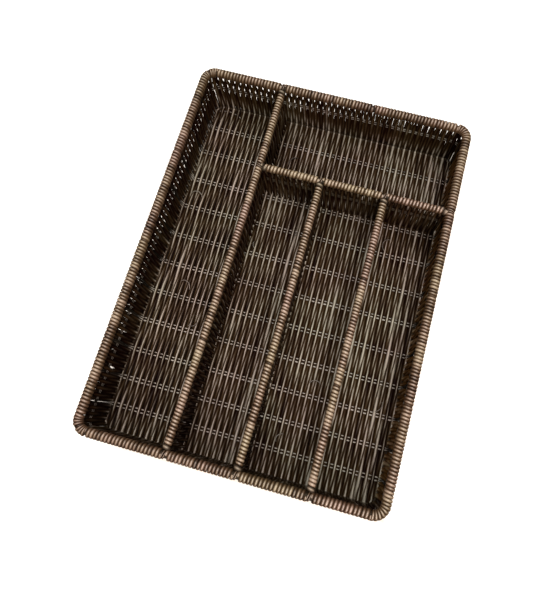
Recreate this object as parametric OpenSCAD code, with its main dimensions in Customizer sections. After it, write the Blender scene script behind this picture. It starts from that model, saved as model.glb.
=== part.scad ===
// Woven cutlery tray with five compartments. Wrapped rods form the rim and the
// tops of the dividers, and woven panels of strands hang from them to the floor.
// Origin: centre of the underside. +X right, +Y back, +Z up. Millimetres.

/* [Tray] */
// Overall width, left to right
tray_w = 267; // [240:1:320]
// Overall length, front to back
tray_l = 360; // [330:1:420]
// Overall height
tray_h = 62.5; // [50:0.5:80]
// Bend radius of the rim's centre line at a corner
corner_r = 10; // [9:1:16]

/* [Compartments] */
// Outer left edge to the middle of the long divider
main_divider_from_left = 81.7; // [60:0.1:105]
// Outer front edge to the middle of the cross divider
cross_divider_from_front = 270; // [220:1:300]

/* [Rods and wraps] */
// Thickness of the rim with its wrap
rim_d = 8.6; // [8:0.2:10]
// Thickness of the bent rod inside the rim
rim_rod_d = 5.4; // [4.4:0.2:6]
// Thickness of a divider's top with its wrap
divider_d = 7; // [6.4:0.2:7.8]
// Thickness of the rod inside a divider's top
divider_rod_d = 4; // [3:0.2:5]
// Length of the lashing that ties a divider's rod at each end
lashing_l = 4; // [3:0.5:6]
// Thickness of the bent rod at the foot of the walls
base_rod_d = 1.8; // [1.4:0.1:2.4]

/* [Weave] */
// Thickness of the strands that run up the walls and along the floor
stake_d = 2.2; // [1.8:0.1:2.4]
// Thickness of the strands that cross them
cross_strand_d = 1.6; // [1.2:0.1:1.8]
// Spacing of the two strands in a pair
pair_spacing = 2.9; // [2.4:0.1:4]
// Spacing of the pairs along the floor
row_pitch = 30; // [26:0.1:30]
// How far below the rim's middle the pair in the walls runs
wall_pair_drop = 21.5; // [12:0.5:30]

/* [Hidden] */
$fn = 64;

WRAP_COLOUR = "#7d5a41";
STAKE_COLOUR = "#4a3626";
CROSS_COLOUR = "#6a5a48";
ROD_COLOUR = "#8a6f50";

// Gap that keeps round faces from touching
clear = 0.1;
// Extra length of a cutter past the face it opens
past = 1;

// A pair of crossing strands lies between an upper and a lower layer of stakes
weave_t = cross_strand_d + 2 * stake_d;
rim_z = tray_h - rim_d / 2;
rim_r = rim_d / 2;
divider_r = divider_d / 2;

// The rim's centre line, which is also the middle of each wall
mid_x = tray_w / 2 - rim_r;
mid_y = tray_l / 2 - rim_r;
straight_x = mid_x - corner_r;
straight_y = mid_y - corner_r;

floor_t = weave_t;
wall_top = rim_z - rim_r;
panel_top = rim_z - divider_r;
wall_pair_z = rim_z - wall_pair_drop;
outer_r = corner_r + weave_t / 2;

// The floor's edge curves up into the walls: how far it is drawn in at each height
EDGE_STEPS = [[0, 4], [0.6, 2.2], [1.8, 0.8], [3.6, 0.1], [5.99, 0]];
edge_slice = 0.01;

// The middle of the weave bends from the floor to the walls, and the base rod lies
// in the middle of that bend, this far in from the wall and up from the floor
base_rod_inset = 0.9;
base_rod_z = floor_t / 2 + base_rod_inset;

floor_rows = 11;
// How far each pair strays from an even spacing, towards the back, front row first
ROW_DRIFT = [-2, -5.5, -8, -8.5, -8.5, -7.5, -7, -5, -4.5, -2, -2];
cross_strand_end = mid_x - base_rod_inset - base_rod_d / 2 - 4 * clear;

// Stakes that turn a corner, as angles from the side wall, with a wide gap in the middle
CORNER_ANGLES = [9, 25, 38, 61, 79];
layer_offset = (cross_strand_d + stake_d) / 2 + clear;

// Dividers. Each is laid out along its own +Y from the rod that it starts at:
// start point, turn about Z, length between the two rods, and those rods' radii
MAIN = 0;
CROSS = 1;
LEFT_SHORT = 2;
RIGHT_SHORT = 3;
main_x = main_divider_from_left - tray_w / 2;
cross_y = cross_divider_from_front - tray_l / 2;
short_pitch = (mid_x - main_x) / 3;
DIVIDERS = [
    [[main_x, -mid_y], 0, 2 * mid_y, rim_r, rim_r],
    [[main_x, cross_y], -90, mid_x - main_x, divider_r, rim_r],
    [[main_x + short_pitch, -mid_y], 0, cross_y + mid_y, rim_r, divider_r],
    [[main_x + 2 * short_pitch, -mid_y], 0, cross_y + mid_y, rim_r, divider_r]
];
function divider_length(i) = DIVIDERS[i][2];
function start_radius(i) = DIVIDERS[i][3];
function end_radius(i) = DIVIDERS[i][4];

module rod_x(d, from, to) {
    translate([from, 0, 0]) rotate([0, 90, 0]) cylinder(d = d, h = to - from);
}

module rod_y(d, from, to) {
    translate([0, from, 0]) rotate([-90, 0, 0]) cylinder(d = d, h = to - from);
}

module tube_y(d, bore, from, to) {
    difference() {
        rod_y(d, from, to);
        rod_y(bore, from - past, to + past);
    }
}

// Corner 0 is at the back right, and the others follow anticlockwise
module at_corner(i) {
    sx = (i == 0 || i == 3) ? 1 : -1;
    sy = (i < 2) ? 1 : -1;
    translate([sx * straight_x, sy * straight_y, 0]) rotate([0, 0, 90 * i]) children();
}

// A round bar of thickness d bent along the rim's centre line, drawn in by inset
module hoop(d, inset = 0) {
    for (side = [-1, 1]) {
        translate([side * (mid_x - inset), 0, 0]) rod_y(d, -straight_y, straight_y);
        translate([0, side * (mid_y - inset), 0]) rod_x(d, -straight_x, straight_x);
    }
    for (i = [0 : 3])
        at_corner(i) rotate_extrude(angle = 90) translate([corner_r - inset, 0]) circle(d = d);
}

// The tray's outline at the walls' outer face, drawn in by inset
module outline(inset) {
    r = outer_r - inset;
    square([2 * (straight_x + r), 2 * straight_y], center = true);
    square([2 * straight_x, 2 * (straight_y + r)], center = true);
    for (i = [0 : 3]) at_corner(i) circle(r = r, $fn = 48);
}

// ---- Rim ----

module rim_rod() {
    color(ROD_COLOUR) translate([0, 0, rim_z]) hoop(rim_rod_d);
}

module rim_side_wrap(side) {
    color(WRAP_COLOUR) translate([side * mid_x, 0, rim_z])
        tube_y(rim_d, rim_rod_d + 2 * clear, -straight_y, straight_y);
}

module rim_end_wrap(side) {
    color(WRAP_COLOUR) translate([0, side * mid_y, rim_z]) rotate([0, 0, 90])
        tube_y(rim_d, rim_rod_d + 2 * clear, -straight_x, straight_x);
}

module rim_corner_wrap(i) {
    color(WRAP_COLOUR) translate([0, 0, rim_z]) at_corner(i)
        rotate_extrude(angle = 90) translate([corner_r, 0]) difference() {
            circle(d = rim_d);
            circle(d = rim_rod_d + 2 * clear);
        }
}

// ---- Floor ----

function row_y(row) = (row - (floor_rows - 1) / 2) * row_pitch + ROW_DRIFT[row];

module cross_strand_rows(d, reach) {
    for (row = [0 : floor_rows - 1], side = [-1, 1])
        translate([0, row_y(row) + side * pair_spacing / 2, floor_t / 2])
            rod_x(d, -reach, reach);
}

module base_rod() {
    color(ROD_COLOUR) translate([0, 0, base_rod_z]) hoop(base_rod_d, base_rod_inset);
}

module floor_weave() {
    color(STAKE_COLOUR) difference() {
        hull()
            for (step = EDGE_STEPS)
                translate([0, 0, step[0]]) linear_extrude(edge_slice) outline(step[1]);
        cross_strand_rows(cross_strand_d + 2 * clear, cross_strand_end);
        translate([0, 0, base_rod_z]) hoop(base_rod_d + 2 * clear, base_rod_inset);
    }
}

module floor_cross_strands() {
    color(CROSS_COLOUR) cross_strand_rows(cross_strand_d, cross_strand_end - clear);
}

// ---- Walls ----

module wall_pair_bores() {
    for (side = [-1, 1])
        translate([0, 0, wall_pair_z + side * pair_spacing / 2]) hoop(cross_strand_d + 2 * clear);
}

module wall_weave_side(side) {
    color(STAKE_COLOUR) difference() {
        translate([side * mid_x - weave_t / 2, -straight_y, floor_t])
            cube([weave_t, 2 * straight_y, wall_top - floor_t]);
        wall_pair_bores();
    }
}

module wall_weave_end(side) {
    color(STAKE_COLOUR) difference() {
        translate([-straight_x, side * mid_y - weave_t / 2, floor_t])
            cube([2 * straight_x, weave_t, wall_top - floor_t]);
        wall_pair_bores();
    }
}

// Stakes stand by turns outside and inside the strands that bend round the corner
module corner_stakes(i) {
    side_wall_first = i % 2 == 0;
    color(STAKE_COLOUR) at_corner(i)
        for (k = [0 : len(CORNER_ANGLES) - 1])
            rotate([0, 0, side_wall_first ? CORNER_ANGLES[k] : 90 - CORNER_ANGLES[k]])
                translate([corner_r + (k % 2 == 0 ? 1 : -1) * layer_offset, 0, floor_t])
                    cylinder(d = stake_d, h = wall_top - floor_t, $fn = 32);
}

module wall_band(side) {
    color(CROSS_COLOUR) translate([0, 0, wall_pair_z + side * pair_spacing / 2])
        hoop(cross_strand_d);
}

// ---- Dividers ----

module at_divider(i) {
    translate(DIVIDERS[i][0]) rotate([0, 0, DIVIDERS[i][1]]) children();
}

// The rods that a divider runs between, as cutters that leave saddles in its ends
module end_cutters(i) {
    reach = divider_d + past;
    rod_x(2 * (start_radius(i) + clear), -reach, reach);
    translate([0, divider_length(i), 0]) rod_x(2 * (end_radius(i) + clear), -reach, reach);
}

module divider_rod(i) {
    color(ROD_COLOUR) translate([0, 0, rim_z]) at_divider(i) difference() {
        rod_y(divider_rod_d, 0, divider_length(i));
        end_cutters(i);
    }
}

module divider_wrap(i) {
    color(WRAP_COLOUR) translate([0, 0, rim_z]) at_divider(i)
        tube_y(
            divider_d, divider_rod_d + 2 * clear,
            start_radius(i) + lashing_l, divider_length(i) - end_radius(i) - lashing_l
        );
}

module divider_lashing(i, at_end) {
    from = at_end ? divider_length(i) - end_radius(i) - lashing_l : 0;
    to = at_end ? divider_length(i) : start_radius(i) + lashing_l;
    color(WRAP_COLOUR) translate([0, 0, rim_z]) at_divider(i) difference() {
        tube_y(divider_d, divider_rod_d + 2 * clear, from, to);
        end_cutters(i);
    }
}

module divider_pair(i, d, from, to) {
    for (side = [-1, 1])
        translate([0, 0, wall_pair_z + side * pair_spacing / 2]) rod_y(d, from, to);
}

module divider_weave(i) {
    length = divider_length(i) - weave_t;
    color(STAKE_COLOUR) at_divider(i) difference() {
        translate([-weave_t / 2, weave_t / 2, floor_t]) cube([weave_t, length, panel_top - floor_t]);
        divider_pair(i, cross_strand_d + 2 * clear, 0, divider_length(i));
    }
}

module divider_bands(i) {
    color(CROSS_COLOUR) at_divider(i)
        divider_pair(i, cross_strand_d, weave_t / 2 + clear, divider_length(i) - weave_t / 2 - clear);
}

rim_rod();
rim_side_wrap(-1);  // rim_wrap_left
rim_side_wrap(1);  // rim_wrap_right
rim_end_wrap(-1);  // rim_wrap_front
rim_end_wrap(1);  // rim_wrap_back
rim_corner_wrap(0);  // rim_corner_wrap_back_right
rim_corner_wrap(1);  // rim_corner_wrap_back_left
rim_corner_wrap(2);  // rim_corner_wrap_front_left
rim_corner_wrap(3);  // rim_corner_wrap_front_right
base_rod();
floor_weave();
floor_cross_strands();
wall_weave_side(-1);  // wall_weave_left
wall_weave_side(1);  // wall_weave_right
wall_weave_end(-1);  // wall_weave_front
wall_weave_end(1);  // wall_weave_back
corner_stakes(0);  // corner_stakes_back_right
corner_stakes(1);  // corner_stakes_back_left
corner_stakes(2);  // corner_stakes_front_left
corner_stakes(3);  // corner_stakes_front_right
wall_band(1);  // wall_band_upper
wall_band(-1);  // wall_band_lower
divider_rod(MAIN);  // main_divider_rod
divider_wrap(MAIN);  // main_divider_wrap
divider_weave(MAIN);  // main_divider_weave
divider_bands(MAIN);  // main_divider_bands
divider_lashing(MAIN, false);  // main_lashing_front
divider_lashing(MAIN, true);  // main_lashing_back
divider_rod(CROSS);  // cross_divider_rod
divider_wrap(CROSS);  // cross_divider_wrap
divider_weave(CROSS);  // cross_divider_weave
divider_bands(CROSS);  // cross_divider_bands
divider_lashing(CROSS, false);  // cross_lashing_left
divider_lashing(CROSS, true);  // cross_lashing_right
divider_rod(LEFT_SHORT);  // left_short_divider_rod
divider_wrap(LEFT_SHORT);  // left_short_divider_wrap
divider_weave(LEFT_SHORT);  // left_short_divider_weave
divider_bands(LEFT_SHORT);  // left_short_divider_bands
divider_lashing(LEFT_SHORT, false);  // left_short_lashing_front
divider_lashing(LEFT_SHORT, true);  // left_short_lashing_back
divider_rod(RIGHT_SHORT);  // right_short_divider_rod
divider_wrap(RIGHT_SHORT);  // right_short_divider_wrap
divider_weave(RIGHT_SHORT);  // right_short_divider_weave
divider_bands(RIGHT_SHORT);  // right_short_divider_bands
divider_lashing(RIGHT_SHORT, false);  // right_short_lashing_front
divider_lashing(RIGHT_SHORT, true);  // right_short_lashing_back
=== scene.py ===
"""Woven rattan cutlery tray: the strands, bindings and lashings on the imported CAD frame.

Shapes are worked out in millimetres in the frame of the CAD model and turned into metres
when a mesh is made. Every strand is a swept tube, so the weave is real geometry.
"""

import math

import bpy
import numpy as np
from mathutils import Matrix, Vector


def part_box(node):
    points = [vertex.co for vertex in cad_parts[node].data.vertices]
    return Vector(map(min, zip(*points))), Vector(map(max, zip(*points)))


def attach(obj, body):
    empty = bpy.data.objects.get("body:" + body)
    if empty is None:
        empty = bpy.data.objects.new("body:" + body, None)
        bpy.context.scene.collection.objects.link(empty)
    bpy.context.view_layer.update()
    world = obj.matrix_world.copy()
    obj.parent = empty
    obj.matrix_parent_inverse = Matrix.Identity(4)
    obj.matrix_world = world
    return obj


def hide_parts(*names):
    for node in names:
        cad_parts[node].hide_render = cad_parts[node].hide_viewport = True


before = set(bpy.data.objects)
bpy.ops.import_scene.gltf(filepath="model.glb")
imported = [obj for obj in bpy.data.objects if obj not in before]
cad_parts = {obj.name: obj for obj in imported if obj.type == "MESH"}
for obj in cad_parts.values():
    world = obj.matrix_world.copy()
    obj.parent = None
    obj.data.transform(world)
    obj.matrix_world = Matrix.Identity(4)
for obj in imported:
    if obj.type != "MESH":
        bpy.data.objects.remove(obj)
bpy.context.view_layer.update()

MM = 0.001
UP = np.array([0.0, 0.0, 1.0])
random = np.random.default_rng(27)


def box_mm(node):
    """Lowest and highest corner of a CAD node, in millimetres."""
    low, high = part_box(node)
    return np.array(low) / MM, np.array(high) / MM


def middle_mm(node):
    low, high = box_mm(node)
    return (low + high) / 2


def size_mm(node):
    low, high = box_mm(node)
    return high - low


def rise(value, start, stop):
    """0 up to start, 1 from stop on, and an even rise between them."""
    return np.clip((value - start) / (stop - start), 0, 1)


def unit(vectors):
    return vectors / np.linalg.norm(vectors, axis=1)[:, None]


def smooth_noise(count, knots, size):
    """A gentle random wander: count values of about the given size."""
    values = random.normal(0, size, knots)
    return np.interp(np.linspace(0, knots - 1, count), np.arange(knots), values)


# ---- The tray's sizes, from the frame ----

RIM_R = size_mm("rim_wrap_left")[2] / 2
RIM_Z = middle_mm("rim_wrap_left")[2]
MID_X = middle_mm("rim_wrap_right")[0]
MID_Y = middle_mm("rim_wrap_back")[1]
# The rim's sides are straight up to here, and its corners turn round this radius
STRAIGHT_X = box_mm("rim_wrap_back")[1][0]
STRAIGHT_Y = box_mm("rim_wrap_left")[1][1]
CORNER_R = MID_X - STRAIGHT_X

DIVIDER_R = size_mm("main_divider_wrap")[2] / 2
MAIN_X = middle_mm("main_divider_rod")[0]
CROSS_Y = middle_mm("cross_divider_rod")[1]
LEFT_SHORT_X = middle_mm("left_short_divider_rod")[0]
RIGHT_SHORT_X = middle_mm("right_short_divider_rod")[0]

MAT_T = size_mm("floor_weave")[2]
MAT_Z = MAT_T / 2
BASE_Z = middle_mm("base_rod")[2]
CROSS_D = size_mm("wall_band_upper")[2]
BAND_Z = (middle_mm("wall_band_upper")[2] + middle_mm("wall_band_lower")[2]) / 2
PAIR_GAP = middle_mm("wall_band_upper")[2] - middle_mm("wall_band_lower")[2]


def row_places():
    """The y of each pair of cross strands in the CAD floor, front row first."""
    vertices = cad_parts["floor_cross_strands"].data.vertices
    levels = np.unique((np.array([vertex.co.y for vertex in vertices]) / MM).round(2))
    rows = np.split(levels, np.flatnonzero(np.diff(levels) > 3 * PAIR_GAP) + 1)
    return np.array([(row[0] + row[-1]) / 2 for row in rows])


ROW_Y = row_places()
FLOOR_ROW_GAP = (ROW_Y[-1] - ROW_Y[0]) / (len(ROW_Y) - 1)

# The weave's middle turns from floor to wall round this radius, through the base rod's middle
BEND_R = (BASE_Z - MAT_Z) / (1 - math.cos(math.pi / 4))
BEND_ARC = BEND_R * math.pi / 2
WALL_FOOT_Z = MAT_Z + BEND_R
# Where a strand is furthest to its side of the rim, just under the binding
RIM_CROSS_Z = RIM_Z - RIM_R
# The strands end out of sight inside the binding
STRAND_END_Z = RIM_Z - 0.72 * RIM_R

# ---- Strands ----

FLOOR_STRANDS = 88
FLOOR_PITCH = 2.926
STAKE_PITCH = 2.95

# A strand is flattened where it turns round the base rod, and narrower above the walls' pair
FLOOR_STRAND_W = 3.1
FLOOR_STRAND_T = 2.1
FOOT_STRAND_W = 4.0
FOOT_STRAND_T = 1.8
WALL_STRAND_W = 3.34
WALL_STRAND_T = 2.5
UPPER_STRAND_W = 2.72
STRAND_WIDTHS = [FLOOR_STRAND_W, WALL_STRAND_W, WALL_STRAND_W, UPPER_STRAND_W]
STRAND_WIDTH_Z = [MAT_T, MAT_T + 8, BAND_Z + 8, BAND_Z + 14]
# How far from the base rod the flattening reaches
FOOT_REACH = 7
# Its width on the floor where it dives under a pair
UNDER_STRAND_W = 4.2

# The corners of a strand's section, in degrees from sideways: closer together at its inner crest
STRAND_SECTION = (90, 118, 165, 215, 270, 325, 375, 422)
# The higher it is, the narrower a strand's crest of wear and painted highlight
STRAND_CREST = 14
# A wound strand is rounder, with a wider crest of wear and painted highlight
WRAP_SECTION = {"sides": 12, "crest": 9}

# How far a strand's middle swings to each side of the weave's middle, on the floor and up a wall
FLOOR_PAIR_T = 1.2
FLOOR_SWING = (FLOOR_PAIR_T + FLOOR_STRAND_T) / 2 + 0.02
SWING_Z = [BASE_Z, BASE_Z + 6, BAND_Z, RIM_Z]
SWING = [1.2, 0.6, 1.15, 1.9]
# The higher it is, the more a strand keeps to the weave's middle between its crossings
SWING_POWER_Z = [BASE_Z, BAND_Z - 4, BAND_Z + 4]
SWING_POWER = [1.5, 1.9, 1.2]
# How far a strand wanders to and fro sideways between crossings, by height
WANDER_Z = [MAT_Z, BASE_Z + 2, BAND_Z, BAND_Z + 4, RIM_Z]
WANDER = [0.27, 0.06, 0.06, 0.14, 0.14]
# How far inner strands crowd one way and outer strands the other, which opens the slots
SLOT_Z = [MAT_T + 12, BAND_Z - 8, RIM_Z]
SLOT_SHIFT = [0.0, 0.10, 0.14]

# The heights between which the inside of a wall goes from wear and painted highlight to painted shade, and
# the level it keeps there
BACK_WALL_PAINTED_SHADE_Z = [MAT_T + 10, MAT_T + 20]
SIDE_WALL_PAINTED_SHADE_Z = [MAT_T, MAT_T + 14]
FRONT_WALL_PAINTED_SHADE_Z = [MAT_T - 1, MAT_T + 2]
PAINTED_SHADE_LEVEL = 0.3

# Each strand takes its grain from its own place in a field this long
GRAIN_FIELD = 400
GRAIN_STEP = 0.37
GRAIN_R = 1.2


class Piece:
    """Collects swept strands, in millimetres, and makes them into one mesh object."""

    def __init__(self, name):
        self.name = name
        self.points = []
        self.quads = []
        self.caps = []
        self.fibre = []
        self.tone = []
        self.wear_and_painted_light = []
        self.count = 0

    def sweep(self, path, normal, width, thick, tone, wear_and_painted_light, back_wear_and_painted_light=0.0, sides=None, crest=STRAND_CREST):
        """Adds a tube of oval section along path. Its broad side faces along normal.

        The crests that face along normal and against it get wear and a painted highlight from the two wear
        arguments.
        """
        rings = len(path)
        if sides:
            angle = math.pi / 2 + 2 * math.pi * np.arange(sides) / sides
        else:
            angle = np.radians(STRAND_SECTION)
        tangent = unit(np.gradient(path, axis=0))
        normal = unit(normal - (normal * tangent).sum(1)[:, None] * tangent)
        across = np.cross(tangent, normal)
        width = np.broadcast_to(width, rings)[:, None, None]
        thick = np.broadcast_to(thick, rings)[:, None, None]
        sideways = np.cos(angle)[None, :, None] * width / 2 * across[:, None, :]
        outward = np.sin(angle)[None, :, None] * thick / 2 * normal[:, None, :]
        self.points.append((path[:, None, :] + sideways + outward).reshape(-1, 3))
        self.add_faces(rings, len(angle))
        self.add_fibre(path, angle)
        self.tone.append(np.repeat(np.broadcast_to(tone, rings), len(angle)))
        front = np.clip(np.sin(angle), 0, 1) ** crest
        back = np.clip(-np.sin(angle), 0, 1) ** crest
        wear_and_painted_light = np.broadcast_to(wear_and_painted_light, rings)[:, None]
        back_wear_and_painted_light = np.broadcast_to(back_wear_and_painted_light, rings)[:, None]
        self.wear_and_painted_light.append((wear_and_painted_light * front + back_wear_and_painted_light * back).ravel())

    def add_faces(self, rings, sides):
        """Adds the quads round a tube and the cap at each end."""
        index = self.count + np.arange(rings * sides).reshape(rings, sides)
        a, b = index[:-1], index[1:]
        a_next, b_next = np.roll(a, -1, axis=1), np.roll(b, -1, axis=1)
        self.quads.append(np.stack([a, b, b_next, a_next], axis=-1).reshape(-1, 4))
        self.caps += [index[0], index[-1][::-1]]
        self.count += rings * sides

    def add_fibre(self, path, angle):
        """Adds each point's place in the grain: along the strand, and round it."""
        steps = np.linalg.norm(np.diff(path, axis=0), axis=1)
        along = np.concatenate([[0], np.cumsum(steps)])
        offset = random.uniform(0, GRAIN_FIELD)
        fibre = np.empty((len(path), len(angle), 3))
        fibre[:, :, 0] = (along + offset)[:, None]
        fibre[:, :, 1] = GRAIN_R * np.cos(angle) + GRAIN_STEP * offset
        fibre[:, :, 2] = GRAIN_R * np.sin(angle)
        self.fibre.append(fibre.reshape(-1, 3))

    def mesh(self):
        mesh = bpy.data.meshes.new(self.name)
        points = np.concatenate(self.points) * MM
        quads = np.concatenate(self.quads)
        loops = np.concatenate([quads.ravel(), *self.caps])
        sizes = np.array([4] * len(quads) + [len(cap) for cap in self.caps])
        starts = np.cumsum(sizes) - sizes
        mesh.vertices.add(len(points))
        mesh.vertices.foreach_set("co", points.ravel())
        mesh.loops.add(len(loops))
        mesh.loops.foreach_set("vertex_index", loops.astype(np.int32))
        mesh.polygons.add(len(sizes))
        mesh.polygons.foreach_set("loop_start", starts.astype(np.int32))
        mesh.polygons.foreach_set("use_smooth", np.arange(len(sizes)) < len(quads))
        mesh.update(calc_edges=True)
        mesh.validate()
        for name, kind, field, values in (
            ("fibre", "FLOAT_VECTOR", "vector", self.fibre),
            ("tone", "FLOAT", "value", self.tone),
            ("wear_and_painted_light", "FLOAT", "value", self.wear_and_painted_light),
        ):
            attribute = mesh.attributes.new(name, kind, "POINT")
            attribute.data.foreach_set(field, np.concatenate(values).ravel())
        return mesh

    def build(self, material, slot, *nodes):
        """Makes the object, which rides on the tray and stands for the CAD nodes."""
        made = bpy.data.objects.new(self.name, self.mesh())
        made.data.materials.append(material)
        bpy.context.scene.collection.objects.link(made)
        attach(made, "root")
        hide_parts(*nodes)


def wall_swing(z, phase):
    """A strand's offset from the middle of a wall, inwards where the cosine of phase is positive."""
    reach = np.interp(z, SWING_Z, SWING)
    power = np.interp(z, SWING_POWER_Z, SWING_POWER)
    wave = np.cos(phase)
    return reach * np.sign(wave) * np.abs(wave) ** power


def slot_shift(z, phase):
    """How far a strand is crowded aside between crossings, inner strands one way and outer the other."""
    # The lobe's highest value is 1
    lobe = 2.6 * np.sin(phase) ** 2 * np.cos(phase)
    return np.interp(z, SLOT_Z, SLOT_SHIFT) * lobe


def to_and_fro(z, phase):
    """How far a strand wanders sideways on its way from one crossing to the next."""
    return -np.interp(z, WANDER_Z, WANDER) * np.sin(phase)


def overness(phase):
    """From 1 where a strand is furthest up or inside to 0 where it is furthest down or outside."""
    return 0.5 + 0.5 * np.cos(phase)


def strand_section(z, from_base):
    """A strand's width and thickness at height z, at a distance from_base from the base rod."""
    width = np.interp(z, STRAND_WIDTH_Z, STRAND_WIDTHS)
    thick = FLOOR_STRAND_T + (WALL_STRAND_T - FLOOR_STRAND_T) * rise(z, *STRAND_WIDTH_Z[:2])
    flat = np.exp(-((from_base / FOOT_REACH) ** 2))
    return width + (FOOT_STRAND_W - width) * flat, thick + (FOOT_STRAND_T - thick) * flat


def wall_wear_and_painted_light(z, over, fade):
    """Wear and painted light on a strand's inner and outer face; over is 1 where it is at the wall's inside.
    Its inner painted highlight fades to painted shade between the heights in fade.
    """
    inside = np.interp(z, fade, [1.0, PAINTED_SHADE_LEVEL])
    return (0.1 + 0.9 * over) * inside, 0.75 * (1 - over)


# ---- Materials ----

# How fast grain changes along and round a strand, per millimetre
GRAIN_SCALE = (0.16, 1.7, 1.7)
# How fast it changes on a CAD rod, per metre, and a rod's tone and its level of wear and painted light
ROD_GRAIN_SCALE = (300, 300, 300)
ROD_LEVEL = 0.2
# What a point's shade, from dark through mid to light, is added up from; the wear share brings in wear and
# painted light
GRAIN_SHARE = 0.42
PATCH_SHARE = 0.42
WEAR_AND_PAINTED_LIGHT_SHARE = 0.6
SHADE_SHIFT = -0.155
SHADE_STOPS = (0.3, 0.6, 0.96)
# Sizes of the patches of shade and of stain, as noise scales per metre
PATCH_SCALE = 34.0
STAIN_SCALE = 16.0


def node_of(tree, kind, **values):
    made = tree.nodes.new(kind)
    for name, value in values.items():
        setattr(made, name, value)
    return made


def strand_value(tree, name, output="Fac"):
    """A value that Piece gave each point of a strand."""
    return node_of(tree, "ShaderNodeAttribute", attribute_name=name).outputs[output]


def ramp_of(tree, value, stops):
    """The colour at value on a ramp; stops is a list of (position, colour)."""
    ramp = node_of(tree, "ShaderNodeValToRGB")
    elements = ramp.color_ramp.elements
    while len(elements) < len(stops):
        elements.new(0.5)
    for element, (position, colour) in zip(elements, stops):
        element.position = position
        element.color = (*colour, 1.0)
    tree.links.new(value, ramp.inputs["Fac"])
    return ramp.outputs["Color"]


def noise_of(tree, vector, scale, detail=2.0):
    noise = node_of(tree, "ShaderNodeTexNoise")
    noise.inputs["Scale"].default_value = scale
    noise.inputs["Detail"].default_value = detail
    noise.inputs["Roughness"].default_value = 0.6
    tree.links.new(vector, noise.inputs["Vector"])
    return noise.outputs["Fac"]


def scaled_sum(tree, value, weight, rest):
    """value * weight + rest, where value and rest are sockets or numbers."""
    made = node_of(tree, "ShaderNodeMath", operation="MULTIPLY_ADD")
    made.inputs[1].default_value = weight
    for socket, given in ((made.inputs[0], value), (made.inputs[2], rest)):
        if isinstance(given, float):
            socket.default_value = given
        else:
            tree.links.new(given, socket)
    return made.outputs["Value"]


def ranged(tree, value, source, target=(0.0, 1.0)):
    """value carried from the range source to the range target."""
    made = node_of(tree, "ShaderNodeMapRange")
    for name, number in zip(("From Min", "From Max", "To Min", "To Max"), (*source, *target)):
        made.inputs[name].default_value = number
    tree.links.new(value, made.inputs["Value"])
    return made.outputs["Result"]


def grain_of(tree, place, fibred):
    """Grain that runs along a strand, or for a CAD rod is the same in every direction."""
    stretch = node_of(tree, "ShaderNodeMapping")
    stretch.inputs["Scale"].default_value = GRAIN_SCALE if fibred else ROD_GRAIN_SCALE
    source = strand_value(tree, "fibre", "Vector") if fibred else place
    tree.links.new(source, stretch.inputs["Vector"])
    return noise_of(tree, stretch.outputs["Vector"], 1.6, detail=4.0)


def stained(tree, place, colour, yellow):
    """The colour under a stain that is redder in some places and yellower in others."""
    stops = [(0.38, (1.0, 0.89, 0.87)), (0.62, (0.97, 1.0, yellow))]
    stain = ramp_of(tree, noise_of(tree, place, STAIN_SCALE), stops)
    mixed = node_of(tree, "ShaderNodeMix", data_type="RGBA", blend_type="MULTIPLY")
    mixed.inputs["Factor"].default_value = 1.0
    tree.links.new(colour, mixed.inputs["A"])
    tree.links.new(stain, mixed.inputs["B"])
    return mixed.outputs["Result"]


def add_relief(tree, height, shader):
    relief = node_of(tree, "ShaderNodeBump")
    relief.inputs["Strength"].default_value = 0.25
    relief.inputs["Distance"].default_value = 0.2 * MM
    tree.links.new(height, relief.inputs["Height"])
    tree.links.new(relief.outputs["Normal"], shader.inputs["Normal"])


def rattan(name, dark, mid, light, gloss=(0.3, 0.7), specular=0.4, fibred=True, yellow=0.8):
    """Lacquered rattan: grain along the strand, a tone of its own for each strand that also carries painted
    light and shade, and crests lightened by wear and a painted highlight.

    gloss is the roughness of clean and of dirty places, and a lower yellow is yellower. CAD
    nodes have no strands, so their material isn't fibred.
    """
    material = bpy.data.materials.new(name)
    material.use_nodes = True
    tree = material.node_tree
    links = tree.links
    shader = tree.nodes["Principled BSDF"]
    place = node_of(tree, "ShaderNodeTexCoord").outputs["Object"]
    tone = strand_value(tree, "tone") if fibred else ROD_LEVEL
    wear_and_painted_light = strand_value(tree, "wear_and_painted_light") if fibred else ROD_LEVEL
    grain = grain_of(tree, place, fibred)
    shade = scaled_sum(tree, grain, GRAIN_SHARE, tone)
    shade = scaled_sum(tree, noise_of(tree, place, PATCH_SCALE), PATCH_SHARE, shade)
    shade = scaled_sum(tree, wear_and_painted_light, WEAR_AND_PAINTED_LIGHT_SHARE, shade)
    shade = scaled_sum(tree, shade, 1.0, SHADE_SHIFT)
    colour = ramp_of(tree, shade, list(zip(SHADE_STOPS, (dark, mid, light))))
    links.new(stained(tree, place, colour, yellow), shader.inputs["Base Color"])

    # Crests with wear and painted highlight are smooth and shine, and dirt dulls the rest
    dirt = scaled_sum(tree, wear_and_painted_light, -0.45, grain)
    links.new(ranged(tree, dirt, (-0.1, 0.6), gloss), shader.inputs["Roughness"])
    if fibred:
        shine = scaled_sum(tree, wear_and_painted_light, 1.5 * specular, 0.04 * specular)
        links.new(shine, shader.inputs["Specular IOR Level"])
    else:
        shader.inputs["Specular IOR Level"].default_value = 0.4 * specular
    add_relief(tree, grain, shader)
    return material


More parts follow.
